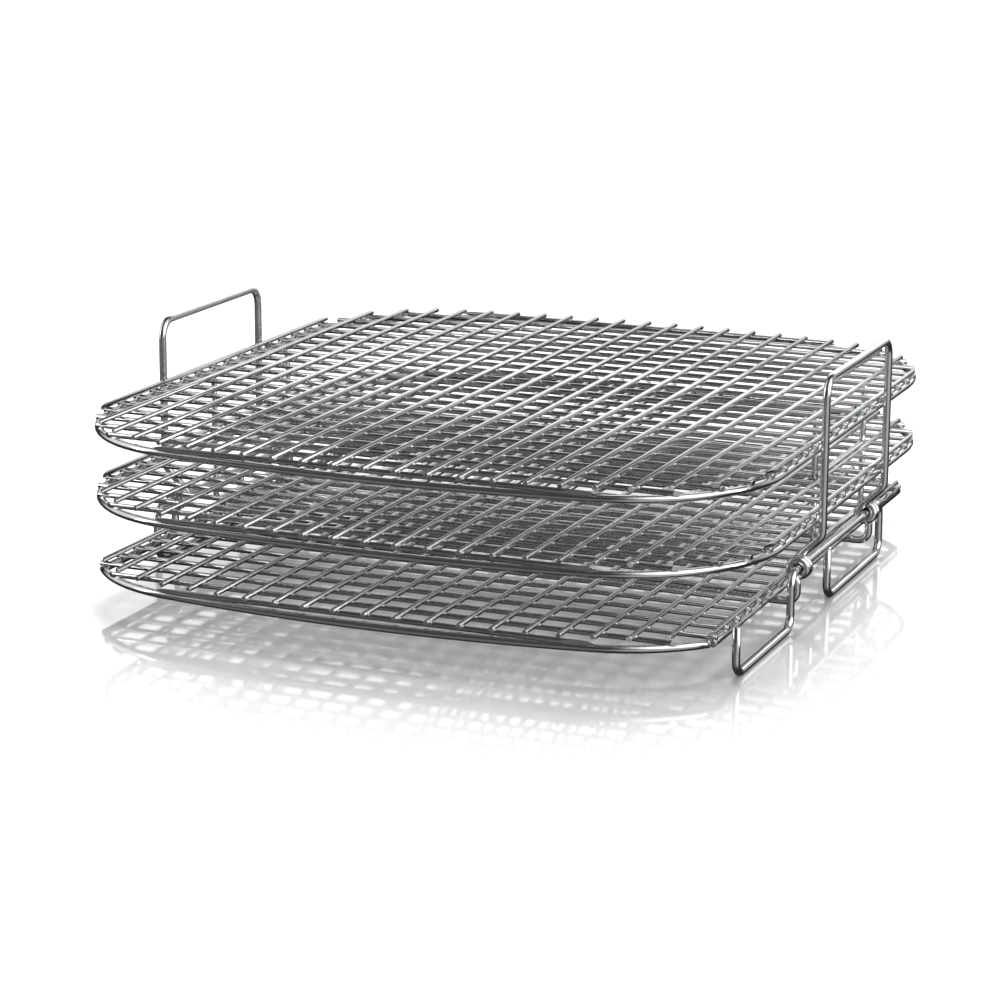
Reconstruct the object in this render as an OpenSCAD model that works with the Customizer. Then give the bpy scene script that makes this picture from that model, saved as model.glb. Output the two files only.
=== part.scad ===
// Three-tier drying rack of round wire.
// Millimetres, +Z up. The origin is on the floor, under the middle of the trays.
// The bottom tray stands on two pairs of wire feet whose axle wires turn in the
// coils of the carrying handles. The two upper trays lift off.

/* [Trays] */
// Spacing of the long wires that run front to back
long_pitch = 12; // [11.5:0.1:12]
// Spacing of the cross wires that run side to side
cross_pitch = 12.41; // [12:0.01:12.5]
// Thickness of the mesh wires
mesh_d = 2; // [1.6:0.1:2.2]
// Thickness of the rim, handle and foot wires
frame_d = 3; // [2.8:0.1:3]
// Half of the width of an upper tray
half_width = 133.8; // [133:0.1:134]
// Half of the depth of a tray at the middle
half_depth = 148.8; // [148:0.1:152]
// Radius of the tray corners
corner_r = 60; // [50:1:65]
// Half of the width of the bottom tray
bottom_half_width = 121.8; // [121.2:0.1:122]
// Half of the length of the side rails of the bottom tray
rail_half = 119; // [110:1:119]

/* [Stacking] */
// Height of the bottom tray's long wires above the floor
bottom_z = 16; // [16:0.5:20]
// Height from one tray to the next
tier = 26.5; // [24:0.5:30]
// Thickness of the spacer wires under the upper trays
spacer_d = 2.4; // [2:0.1:3]
// Distance of the spacers from the middle of the tray
spacer_x = 120; // [118:0.5:120]

/* [Handles] */
// Distance of the handles from the middle
handle_x = 135.7; // [135.7:0.1:137]
// Half of the distance between the legs of a handle
handle_half = 41.2; // [38:0.1:42]
// Height of the top bar of the handles
handle_top = 92; // [88:1:120]
// Bend radius at the top of the handles
handle_bend = 7; // [5:0.5:12]

/* [Feet] */
// Distance of the axle wires from the middle
axle_x = 128.4; // [128:0.1:129]
// Height of the axle wires
axle_z = 22; // [21:0.5:23]
// Gap between an axle wire and the coil round it
axle_gap = 0.08; // [0.05:0.01:0.1]
// Bend radius of the feet
foot_bend = 5.5; // [4:0.5:5.5]
// Height of the free ends of the front feet
foot_end = 19; // [17:0.5:20]

/* [Hidden] */
// Gap where two lengths of one wire meet at an odd angle
seam = 0.02;
frame_fn = 16;
mesh_fn = 14;
tray_zs = [bottom_z, bottom_z + tier, bottom_z + 2 * tier];
// Depth to which crossing wires sink into each other at a weld
weld_sink = mesh_d / 4;
// Heights below the long wires of one tray
cross_drop = mesh_d - weld_sink;
rim_drop = cross_drop + (mesh_d + frame_d) / 2 - weld_sink;
// Distance of the ends of the long wires from the outer edge of the rim
end_inset = 2;
// Corner circles and the large arcs of the front and back edges
corner_x = half_width - corner_r;
corner_y = 82.8;
sag = half_depth - corner_y;
arc_r = (corner_x * corner_x + sag * sag - corner_r * corner_r) / (2 * (sag - corner_r));
arc_y = half_depth - arc_r;
arc_a = atan2(corner_x, corner_y - arc_y);
arc_half = arc_r * sin(arc_a);
// Counts of mesh wires
long_n = 11;
bottom_long_n = 10;
cross_n = 12;
// Coils of the handle wire round the axles
coil_r = frame_d + axle_gap;
coil_step = frame_d + 0.02;
coil_n = 3;
coil_end = handle_half + (coil_n - 1) * coil_step;
bar_z = bottom_z - rim_drop - frame_d;
rail_x = bottom_half_width - frame_d / 2;
// Feet, measured along the axle
front_foot = [-117, -54.5];
back_foot = [-9, 62];
// Spacers, ending under the outer long wires, between two cross wires
right_spacer_y = [-1, 64];
left_spacer_y = [-28.5, 36.5];
spacer_top = mesh_d / 2;
spacer_bottom = tier - (mesh_d + spacer_d) / 2 - 0.1;

// ---- helpers ----

// A round wire lying in the XY plane: straight runs joined by round bends
module bent_wire(path, bend, d) {
    last = len(path) - 1;
    runs = [for (i = [0 : last - 1]) (path[i + 1] - path[i]) / norm(path[i + 1] - path[i])];
    turns = [for (i = [0 : last]) i == 0 || i == last ? 0
        : atan2(cross(runs[i - 1], runs[i]), runs[i - 1] * runs[i])];
    cuts = [for (t = turns) bend * tan(abs(t) / 2)];
    for (i = [0 : last - 1]) {
        span = norm(path[i + 1] - path[i]) - cuts[i] - cuts[i + 1];
        translate(path[i] + runs[i] * cuts[i])
            rotate([0, 90, atan2(runs[i].y, runs[i].x)])
                cylinder(d = d, h = span, $fn = frame_fn);
    }
    for (i = [1 : last - 1]) if (turns[i] != 0) {
        side = turns[i] > 0 ? 1 : -1;
        start = path[i] - runs[i - 1] * cuts[i];
        centre = start + side * bend * [-runs[i - 1].y, runs[i - 1].x];
        a0 = atan2(start.y - centre.y, start.x - centre.x);
        translate(centre) rotate(side > 0 ? a0 : a0 + turns[i])
            wire_arc(bend, abs(turns[i]), d, abs(turns[i]) == 90 ? 0 : seam);
    }
}

// Part of a round wire ring in the XY plane, from the +X axis round by angle a,
// stopping short by a gap at both ends
module wire_arc(r, a, d, gap = 0) {
    trim = gap / r * 180 / PI;
    rotate(trim) rotate_extrude(angle = a - 2 * trim, $fn = r > 200 ? 144 : r > 20 ? 48 : 20)
        translate([r, 0]) circle(d = d, $fn = frame_fn);
}

// Stand a flat XY drawing up in the XZ plane (x stays x, y becomes z) at depth y
module in_xz(y) { translate([0, y, 0]) rotate([90, 0, 0]) children(); }

// Stand a flat XY drawing up in the YZ plane (x becomes y, y becomes z) at place x
module in_yz(x) { translate([x, 0, 0]) rotate([90, 0, 90]) children(); }

// Outline of a tray, cut off straight at the given half width, its front and back edges
// moved in by a distance
module outline(cut, inset = 0) {
    intersection() {
        union() {
            for (sx = [-1, 1], sy = [-1, 1])
                translate([sx * corner_x, sy * (corner_y - inset)]) circle(r = corner_r, $fn = 64);
            square([2 * half_width, 2 * (corner_y - inset)], center = true);
            for (sy = [0, 1]) mirror([0, sy]) intersection() {
                translate([0, arc_y - inset]) circle(r = arc_r, $fn = 180);
                translate([-arc_half, 0]) square([2 * arc_half, half_depth]);
            }
        }
        square([2 * cut, 2 * half_depth], center = true);
    }
}

// Long wires, front to back, trimmed along the outline
module long_wires(z, n, cut) {
    intersection() {
        for (i = [-n : n]) translate([i * long_pitch, half_depth + 5, z])
            rotate([90, 0, 0]) cylinder(d = mesh_d, h = 2 * half_depth + 10, $fn = mesh_fn);
        translate([0, 0, z - 5]) linear_extrude(10) outline(cut, end_inset);
    }
}

// Cross wires, side to side, under the long wires
module cross_wires(z, cut) {
    intersection() {
        for (i = [-cross_n : cross_n - 1])
            translate([-half_width - 5, (i + 0.5) * cross_pitch, z - cross_drop])
                rotate([0, 90, 0]) cylinder(d = mesh_d, h = 2 * half_width + 10, $fn = mesh_fn);
        translate([0, 0, z - 5]) linear_extrude(10) outline(cut);
    }
}

// Closed rim ring under the mesh
module rim(z) {
    translate([0, 0, z - rim_drop]) {
        for (side = [-1, 1])
            translate([side * (half_width - frame_d / 2), corner_y]) rotate([90, 0, 0])
                cylinder(d = frame_d, h = 2 * corner_y, $fn = frame_fn);
        for (turn = [0, 180]) rotate(turn) end_arcs(0);
    }
}

// Back edge of a rim: two corner bends, begun at angle a, and the large arc between them
module end_arcs(a) {
    in = frame_d / 2;
    translate([corner_x, corner_y]) rotate(a)
        wire_arc(corner_r - in, 90 - arc_a - a, frame_d, seam / 2);
    translate([0, arc_y]) rotate(90 - arc_a)
        wire_arc(arc_r - in, 2 * arc_a, frame_d, seam / 2);
    translate([-corner_x, corner_y]) rotate(90 + arc_a)
        wire_arc(corner_r - in, 90 - arc_a - a, frame_d, seam / 2);
}

// Back rim of the bottom tray, its ends let into the side rails
module back_rim() {
    in = frame_d / 2;
    translate([0, 0, bottom_z - rim_drop])
        end_arcs(acos((rail_x - 1 - corner_x) / (corner_r - in)));
}

// Straight side rail of the bottom tray
module rail() {
    translate([rail_x, rail_half, bottom_z - rim_drop]) rotate([90, 0, 0])
        cylinder(d = frame_d, h = 2 * rail_half, $fn = frame_fn);
}

// Carrying handle: inverted U with two legs cranked inward onto the coils
module handle() {
    split = handle_top - 30;
    in_yz(handle_x) bent_wire([[-handle_half, split], [-handle_half, handle_top],
        [handle_half, handle_top], [handle_half, split]], handle_bend, frame_d);
    // each crank runs at 45 degrees onto the upper inner side of its coil
    touch = [axle_x - coil_r * sin(45), axle_z + coil_r * cos(45)];
    knee = [handle_x, touch.y + handle_x - touch.x];
    for (y = [-handle_half, handle_half])
        in_xz(y) bent_wire([[handle_x, split], knee, touch], 5, frame_d);
}

// Coils at the lower ends of a handle, turn beside turn
module coils() {
    for (side = [-1, 1], k = [0 : coil_n - 1])
        translate([axle_x, side * (handle_half + k * coil_step), axle_z])
            rotate([90, 0, 0]) wire_arc(coil_r, 360, frame_d);
}

// Crossbar under the bottom tray, its ends turned up into the last turn of a coil
module crossbar() {
    x = axle_x;
    top = axle_z - coil_r;
    in_xz(-coil_end) bent_wire([[-x, top], [-x, bar_z], [x, bar_z], [x, top]], 4, frame_d);
}

// One wire: front foot with its free end up beside the rail, axle, back foot
module feet() {
    floor_z = frame_d / 2;
    in_yz(axle_x) bent_wire([[front_foot[0], foot_end], [front_foot[0], floor_z],
        [front_foot[1], floor_z], [front_foot[1], axle_z], [back_foot[1], axle_z],
        [back_foot[1], floor_z], [back_foot[0], floor_z],
        [back_foot[0], axle_z - frame_d / 2]], foot_bend, frame_d);
}

// Spacer wire hanging under an upper tray
module spacer(x, y, z) {
    in_yz(x) bent_wire([[y[0], z - spacer_top], [y[0], z - spacer_bottom],
        [y[1], z - spacer_bottom], [y[1], z - spacer_top]], 3.5, spacer_d);
}

// ---- sub-parts ----

steel = [0.80, 0.81, 0.82];
bright = [0.87, 0.88, 0.89];

module bottom_front_rim() { color(bright) rotate(180) back_rim(); }
module bottom_back_rim() { color(bright) back_rim(); }
module right_rail() { color(bright) rail(); }
module left_rail() { color(bright) mirror([1, 0, 0]) rail(); }
module bottom_long_wires() { color(steel) long_wires(tray_zs[0], bottom_long_n, bottom_half_width); }
module bottom_cross_wires() { color(steel) cross_wires(tray_zs[0], bottom_half_width); }
module right_handle() { color(bright) handle(); }
module left_handle() { color(bright) mirror([1, 0, 0]) handle(); }
module right_coils() { color(bright) coils(); }
module left_coils() { color(bright) mirror([1, 0, 0]) coils(); }
module front_crossbar() { color(bright) crossbar(); }
module back_crossbar() { color(bright) mirror([0, 1, 0]) crossbar(); }
module right_feet() { color(bright) feet(); }
module left_feet() { color(bright) rotate(180) feet(); }
module middle_rim() { color(bright) rim(tray_zs[1]); }
module middle_long_wires() { color(steel) long_wires(tray_zs[1], long_n, half_width); }
module middle_cross_wires() { color(steel) cross_wires(tray_zs[1], half_width); }
module middle_right_spacer() { color(bright) spacer(spacer_x, right_spacer_y, tray_zs[1]); }
module middle_left_spacer() { color(bright) spacer(-spacer_x, left_spacer_y, tray_zs[1]); }
module top_rim() { color(bright) rim(tray_zs[2]); }
module top_long_wires() { color(steel) long_wires(tray_zs[2], long_n, half_width); }
module top_cross_wires() { color(steel) cross_wires(tray_zs[2], half_width); }
module top_right_spacer() { color(bright) spacer(spacer_x, right_spacer_y, tray_zs[2]); }
module top_left_spacer() { color(bright) spacer(-spacer_x, left_spacer_y, tray_zs[2]); }

bottom_front_rim();
bottom_back_rim();
right_rail();
left_rail();
bottom_long_wires();
bottom_cross_wires();
right_handle();
left_handle();
right_coils();
left_coils();
front_crossbar();
back_crossbar();
right_feet();
left_feet();
middle_rim();
middle_long_wires();
middle_cross_wires();
middle_right_spacer();
middle_left_spacer();
top_rim();
top_long_wires();
top_cross_wires();
top_right_spacer();
top_left_spacer();
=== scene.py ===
"""Three-tier wire drying rack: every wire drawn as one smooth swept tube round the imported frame."""

import math

import bpy
from mathutils import Matrix, Vector


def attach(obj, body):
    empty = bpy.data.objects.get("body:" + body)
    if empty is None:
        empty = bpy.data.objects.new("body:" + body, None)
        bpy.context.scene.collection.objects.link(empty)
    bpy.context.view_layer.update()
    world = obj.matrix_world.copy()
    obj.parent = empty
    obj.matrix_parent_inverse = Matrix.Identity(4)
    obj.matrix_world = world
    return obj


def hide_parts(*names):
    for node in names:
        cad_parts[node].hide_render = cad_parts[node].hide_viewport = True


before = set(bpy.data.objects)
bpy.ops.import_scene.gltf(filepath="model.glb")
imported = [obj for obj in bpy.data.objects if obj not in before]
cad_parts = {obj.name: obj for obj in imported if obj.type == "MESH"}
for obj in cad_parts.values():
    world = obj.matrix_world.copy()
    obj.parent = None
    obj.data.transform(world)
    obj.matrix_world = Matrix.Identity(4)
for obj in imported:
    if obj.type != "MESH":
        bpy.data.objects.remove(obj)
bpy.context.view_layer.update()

# ---- sizes, in millimetres, as in the part ----
LONG_PITCH, CROSS_PITCH = 12.0, 12.41
LONG_EACH_SIDE, BOTTOM_LONG_EACH_SIDE, CROSS_EACH_SIDE = 11, 10, 12
MESH_R, FRAME_R, SPACER_R = 1.0, 1.5, 1.2
HALF_W, HALF_D, CORNER_R, CORNER_Y = 133.8, 148.8, 60.0, 82.8
BOTTOM_HALF_W, RAIL_HALF = 121.8, 119.0
TIER = 26.5
TRAY_Z = (16.0, 42.5, 69.0)
CORNER_X = HALF_W - CORNER_R
SAG = HALF_D - CORNER_Y
ARC_R = (CORNER_X ** 2 + SAG ** 2 - CORNER_R ** 2) / (2 * (SAG - CORNER_R))
ARC_Y = HALF_D - ARC_R
ARC_A = math.atan2(CORNER_X, CORNER_Y - ARC_Y)
SINK, END_INSET, END_BREAK = 0.5, 2.0, 0.12
RIM_DROP = 3 * MESH_R + FRAME_R - 2 * SINK
BAR_Z = TRAY_Z[0] - RIM_DROP - 2 * FRAME_R
RAIL_X = BOTTOM_HALF_W - FRAME_R
SPACER_X, SPACER_BEND, SPACER_GAP = 120.0, 3.5, 0.1
RIGHT_SPACER_Y, LEFT_SPACER_Y = (-1.0, 64.0), (-28.5, 36.5)
HANDLE_X, HANDLE_Y, HANDLE_TOP, HANDLE_BEND = 135.7, 41.2, 92.0, 7
AXLE_X, AXLE_Z = 128.4, 22.0
COIL_R, COIL_STEP, COIL_TURNS, COIL_SIDES = 3.08, 3.02, 2.25, 28
KNEE_BEND, BAR_BEND = 5, 4
FOOT_BEND, FOOT_END = 5.5, 19
FRONT_FOOT, BACK_FOOT = (-117, -54.5), (-9, 62)


# ---- wire making ----

def arc(centre, radius, a0, a1, step=6.0):
    """Points along an arc in a plane, angles in degrees."""
    count = max(2, int(abs(a1 - a0) / step) + 1)
    return [(centre[0] + radius * math.cos(math.radians(a0 + (a1 - a0) * i / count)),
             centre[1] + radius * math.sin(math.radians(a0 + (a1 - a0) * i / count)))
            for i in range(count + 1)]


def rounded(points, radius, closed=False, step=7.5):
    """A run of 3-D points with its corners rounded to a radius (one number, or one a corner)."""
    pts = [Vector(p) for p in points]
    n = len(pts)
    out = []
    for i, p in enumerate(pts):
        r = radius[i] if isinstance(radius, (list, tuple)) else radius
        if not closed and i in (0, n - 1) or r == 0:
            out.append(p.copy())
            continue
        a, b = (pts[i - 1] - p).normalized(), (pts[(i + 1) % n] - p).normalized()
        turn = math.pi - a.angle(b)
        if turn < 0.01:
            out.append(p.copy())
            continue
        cut = r * math.tan(turn / 2)
        centre = p + (a + b).normalized() * (r / math.cos(turn / 2))
        u, v = (p + a * cut) - centre, (p + b * cut) - centre
        count = max(2, int(math.degrees(turn) / step))
        for k in range(count + 1):
            t = k / count
            swing = u * math.sin((1 - t) * turn) + v * math.sin(t * turn)
            out.append(centre + swing / math.sin(turn))
    return out


def tube(verts, faces, path, radius, closed=False, sides=20, chamfer=0.25):
    """Sweeps a round section along a path of points, adding to the vertex and face lists."""
    pts = [Vector(p) for p in path]
    clean = [pts[0]]
    for p in pts[1:]:
        if (p - clean[-1]).length > 1e-4:
            clean.append(p)
    pts = clean
    if closed and (pts[0] - pts[-1]).length < 1e-3:
        pts.pop()
    radii = [radius] * len(pts)
    if not closed and chamfer:
        first, last = (pts[1] - pts[0]).normalized(), (pts[-1] - pts[-2]).normalized()
        pts = [pts[0], pts[0] + first * chamfer] + pts[1:-1] + [pts[-1] - last * chamfer, pts[-1]]
        radii = [radius - chamfer] + [radius] * (len(pts) - 2) + [radius - chamfer]
    n = len(pts)
    tangents = []
    for i in range(n):
        before = pts[i - 1] if closed or i else pts[i]
        after = pts[(i + 1) % n] if closed or i < n - 1 else pts[i]
        tangents.append((after - before).normalized())
    ref = Vector((0, 0, 1)) if abs(tangents[0].z) < 0.9 else Vector((1, 0, 0))
    normal = (ref - tangents[0] * ref.dot(tangents[0])).normalized()
    normals = [normal]
    for i in range(1, n):
        normal = tangents[i - 1].rotation_difference(tangents[i]) @ normal
        normal = (normal - tangents[i] * normal.dot(tangents[i])).normalized()
        normals.append(normal)
    twist = 0.0
    if closed:
        back = tangents[-1].rotation_difference(tangents[0]) @ normals[-1]
        side = tangents[0].cross(normals[0])
        twist = math.atan2(back.dot(side), back.dot(normals[0]))
    base = len(verts)
    for i in range(n):
        side = tangents[i].cross(normals[i])
        shift = -twist * i / n
        for k in range(sides):
            a = 2 * math.pi * k / sides + shift
            verts.append(pts[i] + radii[i] * (math.cos(a) * normals[i] + math.sin(a) * side))
    for i in range(n if closed else n - 1):
        j = (i + 1) % n
        for k in range(sides):
            m = (k + 1) % sides
            faces.append((base + i * sides + k, base + j * sides + k,
                          base + j * sides + m, base + i * sides + m))
    if not closed:
        faces.append(tuple(base + k for k in range(sides)))
        faces.append(tuple(base + (n - 1) * sides + sides - 1 - k for k in range(sides)))


def piece(name, verts, faces, body, nodes, material):
    """Turns millimetre lists into a smooth mesh piece that rides on a body and stands for nodes."""
    mesh = bpy.data.meshes.new(name)
    mesh.from_pydata([tuple(c * 0.001 for c in v) for v in verts], [], faces)
    mesh.validate()
    mesh.update()
    for poly in mesh.polygons:
        poly.use_smooth = len(poly.vertices) == 4
    obj = bpy.data.objects.new(name, mesh)
    bpy.context.scene.collection.objects.link(obj)
    mesh.materials.append(material)
    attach(obj, body)
    if nodes:
        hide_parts(*nodes)


def bead(verts, faces, centre, size, rows=6, cols=12):
    """A small closed blob of weld metal."""
    base = len(verts)
    c = Vector(centre)
    verts.append(c + Vector((0, 0, size[2])))
    for i in range(1, rows):
        t = math.pi * i / rows
        for k in range(cols):
            a = 2 * math.pi * k / cols
            verts.append(c + Vector((size[0] * math.sin(t) * math.cos(a),
                                     size[1] * math.sin(t) * math.sin(a), size[2] * math.cos(t))))
    verts.append(c - Vector((0, 0, size[2])))
    end = len(verts) - 1
    for k in range(cols):
        m = (k + 1) % cols
        faces.append((base, base + 1 + k, base + 1 + m))
        for i in range(rows - 2):
            p, q = base + 1 + i * cols, base + 1 + (i + 1) * cols
            faces.append((p + k, q + k, q + m, p + m))
        p = base + 1 + (rows - 2) * cols
        faces.append((p + k, end, p + m))


# ---- materials ----

def steel(name, tint, rough, grain, bump):
    """Bright drawn wire: metal with faint drawing lines, cloudy polish and small handling marks."""
    mat = bpy.data.materials.new(name)
    mat.use_nodes = True
    nt = mat.node_tree
    bsdf = nt.nodes["Principled BSDF"]
    bsdf.inputs["Metallic"].default_value = 1.0
    coord = nt.nodes.new("ShaderNodeTexCoord")
    cloud = nt.nodes.new("ShaderNodeTexNoise")
    cloud.inputs["Scale"].default_value = 60.0
    cloud.inputs["Detail"].default_value = 4.0
    fine = nt.nodes.new("ShaderNodeTexNoise")
    fine.inputs["Scale"].default_value = grain
    fine.inputs["Detail"].default_value = 3.0
    nt.links.new(coord.outputs["Object"], cloud.inputs["Vector"])
    nt.links.new(coord.outputs["Object"], fine.inputs["Vector"])
    ramp = nt.nodes.new("ShaderNodeValToRGB")
    ramp.color_ramp.elements[0].position = 0.32
    ramp.color_ramp.elements[0].color = (*[c * 0.86 for c in tint], 1)
    ramp.color_ramp.elements[1].position = 0.68
    ramp.color_ramp.elements[1].color = (*tint, 1)
    nt.links.new(cloud.outputs["Fac"], ramp.inputs["Fac"])
    nt.links.new(ramp.outputs["Color"], bsdf.inputs["Base Color"])
    spread = nt.nodes.new("ShaderNodeMapRange")
    spread.inputs["From Min"].default_value = 0.3
    spread.inputs["From Max"].default_value = 0.7
    spread.inputs["To Min"].default_value = rough * 0.75
    spread.inputs["To Max"].default_value = rough * 1.35
    nt.links.new(fine.outputs["Fac"], spread.inputs["Value"])
    nt.links.new(spread.outputs["Result"], bsdf.inputs["Roughness"])
    relief = nt.nodes.new("ShaderNodeBump")
    relief.inputs["Strength"].default_value = bump
    relief.inputs["Distance"].default_value = 0.0001
    nt.links.new(fine.outputs["Fac"], relief.inputs["Height"])
    nt.links.new(relief.outputs["Normal"], bsdf.inputs["Normal"])
    return mat


frame_steel = steel("polished_wire", (0.80, 0.81, 0.82), 0.16, 900.0, 0.15)
mesh_steel = steel("mesh_wire", (0.72, 0.73, 0.74), 0.18, 1400.0, 0.08)


# ---- tray outline ----

def edge_y(x):
    """Half-depth of the tray outline at x."""
    x = abs(x)
    if x <= ARC_R * math.sin(ARC_A):
        return ARC_Y + math.sqrt(ARC_R ** 2 - x * x)
    d = min(x - CORNER_X, CORNER_R)
    return CORNER_Y + math.sqrt(max(CORNER_R ** 2 - d * d, 0.0))


def edge_x(y, cut):
    """Half-width of the tray outline at y, up to a straight cut."""
    y = abs(y)
    if y <= CORNER_Y:
        return min(HALF_W, cut)
    if y <= ARC_Y + ARC_R * math.cos(ARC_A):
        return min(CORNER_X + math.sqrt(CORNER_R ** 2 - (y - CORNER_Y) ** 2), cut)
    return min(math.sqrt(max(ARC_R ** 2 - (y - ARC_Y) ** 2, 0.0)), cut)


def trimmed_wire(verts, faces, place, z, along_y, reach, sides=16):
    """A straight mesh wire whose two ends are sheared off along the outline, edges just broken."""
    tip, shoulder = (0.0, MESH_R - END_BREAK), (END_BREAK, MESH_R)
    rings = []
    for sign in (-1, 1):
        for inset, r in ((tip, shoulder) if sign < 0 else (shoulder, tip)):
            ring = []
            for k in range(sides):
                a = 2 * math.pi * k / sides
                off, up = r * math.cos(a), r * math.sin(a)
                end = sign * (reach(place + off) - inset)
                ring.append(len(verts))
                verts.append(Vector((place + off, end, z + up)) if along_y
                             else Vector((end, place + off, z + up)))
            rings.append(ring)
    for p, q in zip(rings, rings[1:]):
        for k in range(sides):
            m = (k + 1) % sides
            face = (p[k], p[m], q[m], q[k])
            faces.append(face if not along_y else face[::-1])
    first, last = tuple(rings[0]), tuple(rings[-1])
    faces.append(first[::-1] if not along_y else first)
    faces.append(last if not along_y else last[::-1])


def rim_path(a_start=0.0):
    """Centre-line of the back edge of a rim, from the right round to the left."""
    half = math.degrees(ARC_A)
    path = arc((CORNER_X, CORNER_Y), CORNER_R - FRAME_R, a_start, 90 - half)
    path += arc((0, ARC_Y), ARC_R - FRAME_R, 90 - half, 90 + half, 1.2)[1:]
    path += arc((-CORNER_X, CORNER_Y), CORNER_R - FRAME_R, 90 + half, 180 - a_start)[1:]
    return path


def tray(prefix, z, body, n_long, cut):
    """Long wires over cross wires, with a little weld metal squeezed out at every crossing."""
    v, f = [], []
    for i in range(-n_long, n_long + 1):
        trimmed_wire(v, f, i * LONG_PITCH, z, True, lambda x: edge_y(x) - END_INSET)
    piece(prefix + "_long", v, f, body, [prefix + "_long_wires"], mesh_steel)
    v, f = [], []
    for i in range(-CROSS_EACH_SIDE, CROSS_EACH_SIDE):
        y = (i + 0.5) * CROSS_PITCH
        trimmed_wire(v, f, y, z - 2 * MESH_R + SINK, False, lambda y: edge_x(y, cut))
        for j in range(-n_long, n_long + 1):
            if edge_y(j * LONG_PITCH) > abs(y) + 4 and edge_x(y, cut) > abs(j) * LONG_PITCH + 1.2:
                bead(v, f, (j * LONG_PITCH, y, z - MESH_R + SINK / 2), (1.25, 1.25, 0.6), 4, 8)
    piece(prefix + "_cross", v, f, body, [prefix + "_cross_wires"], mesh_steel)


for prefix, z, body in (("middle", TRAY_Z[1], "middle_tray"), ("top", TRAY_Z[2], "top_tray")):
    tray(prefix, z, body, LONG_EACH_SIDE, HALF_W)
    back = rim_path()
    ring = back + [(-x, -y) for x, y in back]
    v, f = [], []
    tube(v, f, [(x, y, z - RIM_DROP) for x, y in ring], FRAME_R, closed=True)
    piece(prefix + "_rim_wire", v, f, body, [prefix + "_rim"], frame_steel)
    low, high = z - TIER + MESH_R + SPACER_R + SPACER_GAP, z - MESH_R
    for x, (y0, y1), word in ((SPACER_X, RIGHT_SPACER_Y, "right"), (-SPACER_X, LEFT_SPACER_Y, "left")):
        v, f = [], []
        corners = [(x, y0, high), (x, y0, low), (x, y1, low), (x, y1, high)]
        tube(v, f, rounded(corners, SPACER_BEND), SPACER_R)
        piece(prefix + "_" + word + "_spacer_wire", v, f, body,
              [prefix + "_" + word + "_spacer"], frame_steel)

tray("bottom", TRAY_Z[0], "bottom_tray", BOTTOM_LONG_EACH_SIDE, BOTTOM_HALF_W)
start = math.degrees(math.acos((RAIL_X - 1 - CORNER_X) / (CORNER_R - FRAME_R)))
for turn, word in ((1, "back"), (-1, "front")):
    v, f = [], []
    tube(v, f, [(turn * x, turn * y, TRAY_Z[0] - RIM_DROP) for x, y in rim_path(start)], FRAME_R)
    piece("bottom_" + word + "_rim_wire", v, f, "bottom_tray", ["bottom_" + word + "_rim"],
          frame_steel)
for side, word in ((1, "right"), (-1, "left")):
    v, f = [], []
    rail = [(side * RAIL_X, y, TRAY_Z[0] - RIM_DROP) for y in (-RAIL_HALF, -60, 0, 60, RAIL_HALF)]
    tube(v, f, rail, FRAME_R)
    piece(word + "_rail_wire", v, f, "bottom_tray", [word + "_rail"], frame_steel)


# ---- carrying frame: both handles, four coils and two crossbars, one bent wire ----

def coil(sx, sy):
    """From the foot of the crank round the axle to the lower inner side of the last turn."""
    pts = []
    steps = int(COIL_TURNS * COIL_SIDES)
    for k in range(steps):
        t = k / steps
        a = math.radians(135 + 360 * COIL_TURNS * t)
        pts.append((sx * (AXLE_X + COIL_R * math.cos(a)), sy * (HANDLE_Y + 2 * COIL_STEP * t),
                    AXLE_Z + COIL_R * math.sin(a)))
    return pts


y_end = HANDLE_Y + 2 * COIL_STEP
touch = (AXLE_X - COIL_R * math.sin(math.radians(45)), AXLE_Z + COIL_R * math.cos(math.radians(45)))
knee_z = touch[1] + HANDLE_X - touch[0]
path = []
for sx, sy in ((1, -1), (1, 1), (-1, 1), (-1, -1)):
    mid_leg = (sx * HANDLE_X, sy * HANDLE_Y, HANDLE_TOP - 30)
    down = rounded([mid_leg, (sx * HANDLE_X, sy * HANDLE_Y, knee_z),
                    (sx * touch[0], sy * HANDLE_Y, touch[1])], KNEE_BEND)
    slant = COIL_R * math.sqrt(0.5)
    out = rounded([(sx * (AXLE_X - slant), sy * y_end, AXLE_Z - slant),
                   (sx * AXLE_X, sy * y_end, AXLE_Z - 2 * slant),
                   (sx * AXLE_X, sy * y_end, BAR_Z),
                   (sx * 60, sy * y_end, BAR_Z)], [0, BAR_BEND, BAR_BEND, 0])
    half = [Vector(p) for p in down[:-1]] + [Vector(p) for p in coil(sx, sy)] + out
    top = rounded([mid_leg, (sx * HANDLE_X, sy * HANDLE_Y, HANDLE_TOP),
                   (sx * HANDLE_X, 0, HANDLE_TOP)], HANDLE_BEND)
    whole = list(reversed(top)) + half[1:]
    path += whole if sx * sy > 0 else list(reversed(whole))
v, f = [], []
tube(v, f, path, FRAME_R, closed=True)
piece("carrying_frame", v, f, "bottom_tray",
      ["right_handle", "left_handle", "right_coils", "left_coils", "front_crossbar", "back_crossbar"],
      frame_steel)

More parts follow.
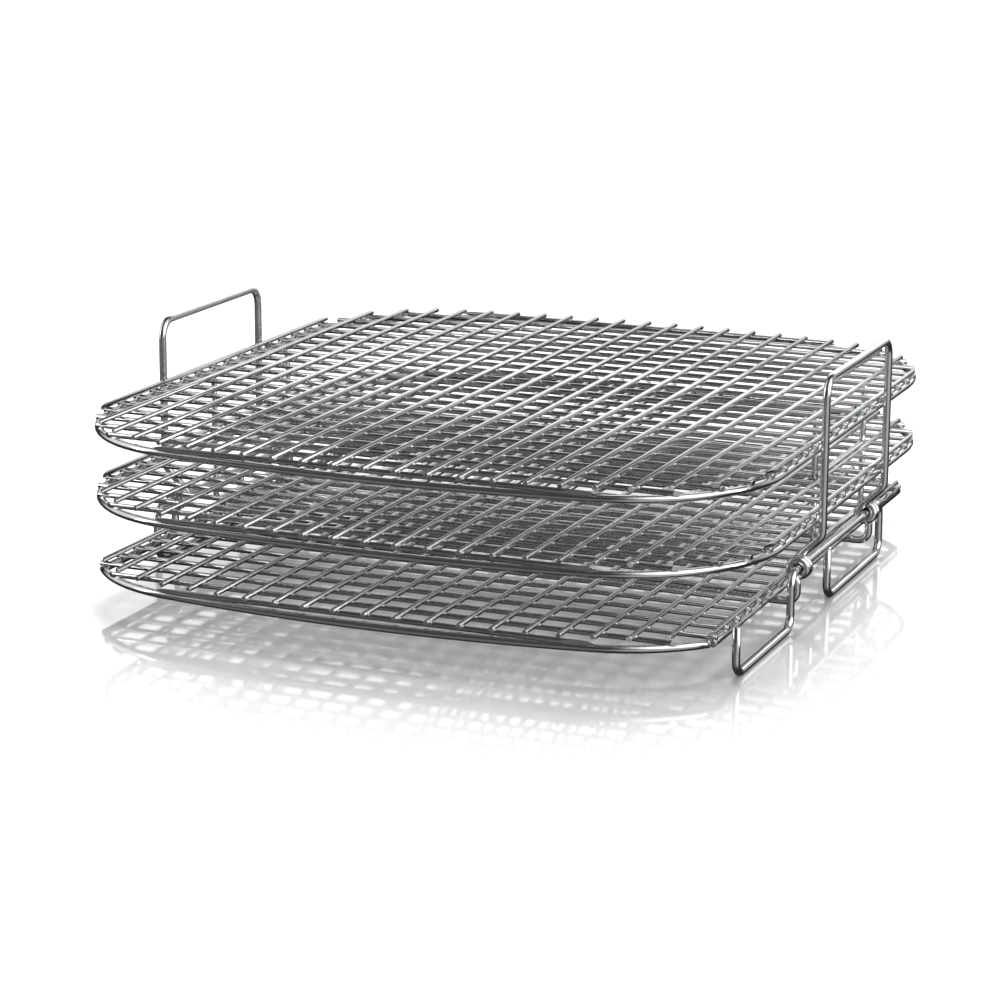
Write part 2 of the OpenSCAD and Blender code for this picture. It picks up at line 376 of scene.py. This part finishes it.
# ---- feet: one wire on each side, turning in the coils ----
for side, word in ((1, "right"), (-1, "left")):
    route = [(FRONT_FOOT[0], FOOT_END), (FRONT_FOOT[0], FRAME_R), (FRONT_FOOT[1], FRAME_R),
             (FRONT_FOOT[1], AXLE_Z), (BACK_FOOT[1], AXLE_Z), (BACK_FOOT[1], FRAME_R),
             (BACK_FOOT[0], FRAME_R), (BACK_FOOT[0], AXLE_Z - FRAME_R)]
    pts = [(side * AXLE_X, side * y, z) for y, z in route]
    v, f = [], []
    tube(v, f, rounded(pts, [0] + [FOOT_BEND] * 6 + [0]), FRAME_R)
    bead(v, f, pts[-1], (1.9, 1.9, 0.9))
    piece(word + "_foot_wire", v, f, word + "_foot_wire", [word + "_feet"], frame_steel)

# ---- studio ----
floor_mat = bpy.data.materials.new("pale_floor")
floor_mat.use_nodes = True
nt = floor_mat.node_tree
bsdf = nt.nodes["Principled BSDF"]
bsdf.inputs["Base Color"].default_value = (0.95, 0.95, 0.95, 1)
bsdf.inputs["Roughness"].default_value = 1.0
bsdf.inputs["Specular IOR Level"].default_value = 0.0
gloss = nt.nodes.new("ShaderNodeBsdfGlossy")
gloss.inputs["Roughness"].default_value = 0.05
mix = nt.nodes.new("ShaderNodeMixShader")
mix.inputs["Fac"].default_value = 0.45
nt.links.new(bsdf.outputs["BSDF"], mix.inputs[1])
nt.links.new(gloss.outputs["BSDF"], mix.inputs[2])
nt.links.new(mix.outputs["Shader"], nt.nodes["Material Output"].inputs["Surface"])
mesh = bpy.data.meshes.new("floor")
size = 6.0
mesh.from_pydata([(-size, -size, 0), (size, -size, 0), (size, size, 0), (-size, size, 0)],
                 [], [(0, 1, 2, 3)])
floor = bpy.data.objects.new("floor", mesh)
mesh.materials.append(floor_mat)
bpy.context.scene.collection.objects.link(floor)


def area_light(name, place, aim, size, watts, size_y):
    """A rectangular lamp pointed at a spot on the object."""
    data = bpy.data.lights.new(name, "AREA")
    data.shape = "RECTANGLE"
    data.size, data.size_y = size, size_y
    data.energy = watts
    obj = bpy.data.objects.new(name, data)
    obj.location = place
    obj.rotation_euler = (Vector(aim) - Vector(place)).to_track_quat("-Z", "Y").to_euler()
    bpy.context.scene.collection.objects.link(obj)


sun_data = bpy.data.lights.new("overhead", "SUN")
sun_data.energy = 4.8
sun_data.angle = math.radians(30)
sun = bpy.data.objects.new("overhead", sun_data)
sun.rotation_euler = (math.radians(-36), math.radians(-10), 0)
sun.visible_glossy = False
bpy.context.scene.collection.objects.link(sun)
floor.visible_glossy = False
area_light("left_strip", (-1.6, -0.9, 0.5), (0, 0, 0.05), 0.25, 5, 1.2)
area_light("right_strip", (1.7, 0.3, 0.5), (0, 0, 0.05), 0.25, 5, 1.2)

# a dark room: one broad bank of soft light behind, cut off at the horizon, and smaller ones round it
world = bpy.data.worlds.new("studio")
world.use_nodes = True
nt = world.node_tree
coord = nt.nodes.new("ShaderNodeTexCoord")


def lobe(direction, start, end, level):
    """Brightness that grows as the direction of view nears one direction."""
    dot = nt.nodes.new("ShaderNodeVectorMath")
    dot.operation = "DOT_PRODUCT"
    dot.inputs[1].default_value = Vector(direction).normalized()
    nt.links.new(coord.outputs["Generated"], dot.inputs[0])
    span = nt.nodes.new("ShaderNodeMapRange")
    span.interpolation_type = "SMOOTHSTEP"
    span.inputs["From Min"].default_value, span.inputs["From Max"].default_value = start, end
    span.inputs["To Max"].default_value = level
    nt.links.new(dot.outputs["Value"], span.inputs["Value"])
    return span.outputs["Result"]


def join(a, b, operation="ADD"):
    """Two brightnesses put together, added unless told otherwise."""
    node = nt.nodes.new("ShaderNodeMath")
    node.operation = operation
    nt.links.new(a, node.inputs[0])
    nt.links.new(b, node.inputs[1])
    return node.outputs["Value"]


behind = lobe((-0.2, 0.89, 0.39), 0.79, 0.95, 1.3)
horizon = lobe((0, 0, 1), -0.02, 0.12, 1.0)
glow = join(behind, horizon, "MULTIPLY")
SOFT_LIGHTS = (
    ((0, 0, 1), 0.0, 1.0, 0.05),
    ((0, 0, 1), -3.0, -2.0, 0.03),
    ((0.75, -0.6, -0.25), 0.68, 0.98, 0.45),
    ((0.78, -0.2, 0.6), 0.70, 0.93, 1.7),
    ((-0.93, -0.1, 0.35), 0.78, 0.97, 0.9),
    ((0.5, 0.82, 0.2), 0.85, 0.98, 0.45),
    ((-0.3, -0.8, -0.42), 0.72, 0.97, 0.12),
)
for direction, start, end, level in SOFT_LIGHTS:
    glow = join(glow, lobe(direction, start, end, level))
nt.links.new(glow, nt.nodes["Background"].inputs["Color"])
bpy.context.scene.world = world
bpy.context.scene.view_settings.view_transform = "Standard"

# ---- camera: long lens, 22.5 degrees round to the right and 14.2 degrees above ----
yaw, pitch, roll = math.radians(22.541), math.radians(14.207), math.radians(0.289)
forward = Vector((-math.sin(yaw) * math.cos(pitch), math.cos(yaw) * math.cos(pitch), -math.sin(pitch)))
right = Vector((math.cos(yaw), math.sin(yaw), 0))
up = right.cross(forward)
r2 = math.cos(roll) * right + math.sin(roll) * up
u2 = -math.sin(roll) * right + math.cos(roll) * up
cam_data = bpy.data.cameras.new("camera")
cam_data.lens, cam_data.sensor_width = 110.67, 36.0
cam = bpy.data.objects.new("camera", cam_data)
rot = Matrix((r2, u2, -forward)).transposed().to_4x4()
cam.matrix_world = Matrix.Translation((0.44237, -1.08699, 0.32092)) @ rot
bpy.context.scene.collection.objects.link(cam)
bpy.context.scene.camera = cam
